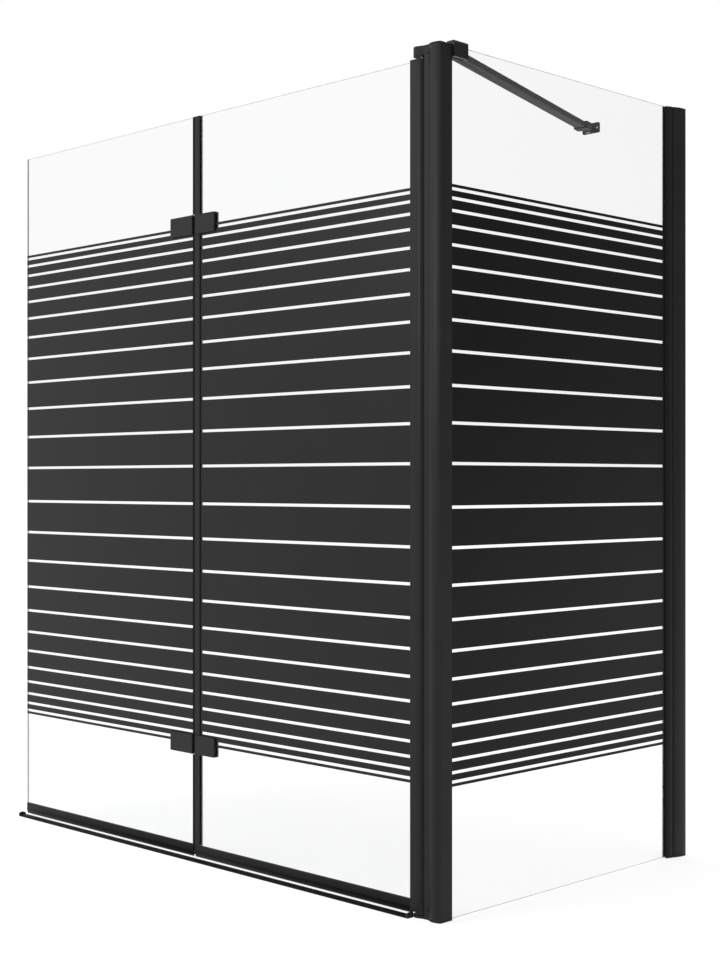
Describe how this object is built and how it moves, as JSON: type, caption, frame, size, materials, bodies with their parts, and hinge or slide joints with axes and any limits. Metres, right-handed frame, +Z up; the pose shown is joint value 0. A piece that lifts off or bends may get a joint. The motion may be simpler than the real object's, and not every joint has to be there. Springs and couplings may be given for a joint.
{
  "type": "bath screen",
  "caption": "Corner bath screen: a folding two-panel glass front on a corner post, a fixed side glass with a wall profile and a stabiliser bar, clear glass with a printed stripe band.",
  "frame": {"origin": "middle of the corner post's foot on the bath rim", "axes": "+Z up, -X along the folding front away from the post, +Y along the side glass towards the wall"},
  "size_m": [1.1952, 0.6869, 1.407],
  "materials": {
    "post": "matt black powder coat on extruded aluminium",
    "rail": "matt black powder coat on extruded aluminium",
    "fitting": "satin black coated metal fittings",
    "cap": "moulded black plastic",
    "bearing": "natural hard plastic",
    "glass": "clear tempered safety glass",
    "print": "black ceramic print fired on the glass",
    "seal": "soft black elastomer",
    "bottom_seal": "soft black sealing profile",
    "pin": "stainless steel",
    "screw": "blackened stainless steel"
  },
  "bodies": {
    "fixed_frame": {"corner_post": "post", "post_foot_cap": "cap", "post_top_cap": "cap", "post_cap_screws": "screw", "post_seal": "seal", "pivot_pins": "pin", "thrust_washer": "bearing", "side_glass": "glass", "side_glass_print": "print", "post_gasket": "seal", "adapter_gasket": "seal", "adapter_profile": "post", "wall_profile": "post", "adapter_screws": "screw", "wall_foot_cap": "cap", "wall_top_cap": "cap", "wall_cap_screws": "screw", "threshold_rail": "rail", "rail_cap_far": "cap", "rail_cap_near": "cap", "stabiliser_clamp": "fitting", "clamp_gasket": "seal", "clamp_grub_screws": "screw", "bar_pivot_pin": "pin"},
    "stabiliser": {"stabiliser_bar": "fitting", "bar_socket": "fitting"},
    "bar_bracket": {"wall_bracket": "fitting", "bracket_pin": "pin"},
    "inner_panel": {"turning_profile": "post", "pivot_plugs": "cap", "profile_gasket": "seal", "inner_glass": "glass", "inner_glass_print": "print", "seam_profile": "post", "seam_seal": "seal", "inner_bottom_seal": "bottom_seal", "inner_hinge_leaves": "fitting", "inner_hinge_plates": "fitting", "inner_hinge_pads": "seal", "inner_hinge_sleeves": "bearing", "inner_hinge_screws": "screw", "hinge_pins": "pin"},
    "outer_panel": {"outer_glass": "glass", "outer_glass_print": "print", "outer_bottom_seal": "bottom_seal", "outer_hinge_leaves": "fitting", "outer_hinge_plates": "fitting", "outer_hinge_pads": "seal", "outer_hinge_sleeves": "bearing", "outer_hinge_screws": "screw"}
  },
  "joints": [
    {"name": "panel_swing", "type": "hinge", "parent": "fixed_frame", "child": "inner_panel", "pos_m": [-0.0315, -0.00175, 0.7], "axis": [0, 0, -1], "range_deg": [0, 90]},
    {"name": "panel_fold", "type": "hinge", "parent": "inner_panel", "child": "outer_panel", "pos_m": [-0.607, 0.00725, 0.7], "axis": [0, 0, -1], "range_deg": [0, 180]},
    {"name": "bar_swivel", "type": "hinge", "parent": "fixed_frame", "child": "stabiliser", "pos_m": [-0.0045, 0.03125, 1.3942], "axis": [0, 0, 1], "range_deg": [-8, 30]},
    {"name": "bracket_swivel", "type": "hinge", "parent": "stabiliser", "child": "bar_bracket", "pos_m": [-0.1903, 0.64525, 1.3942], "axis": [0, 0, 1], "range_deg": [-30, 30]}
  ]
}
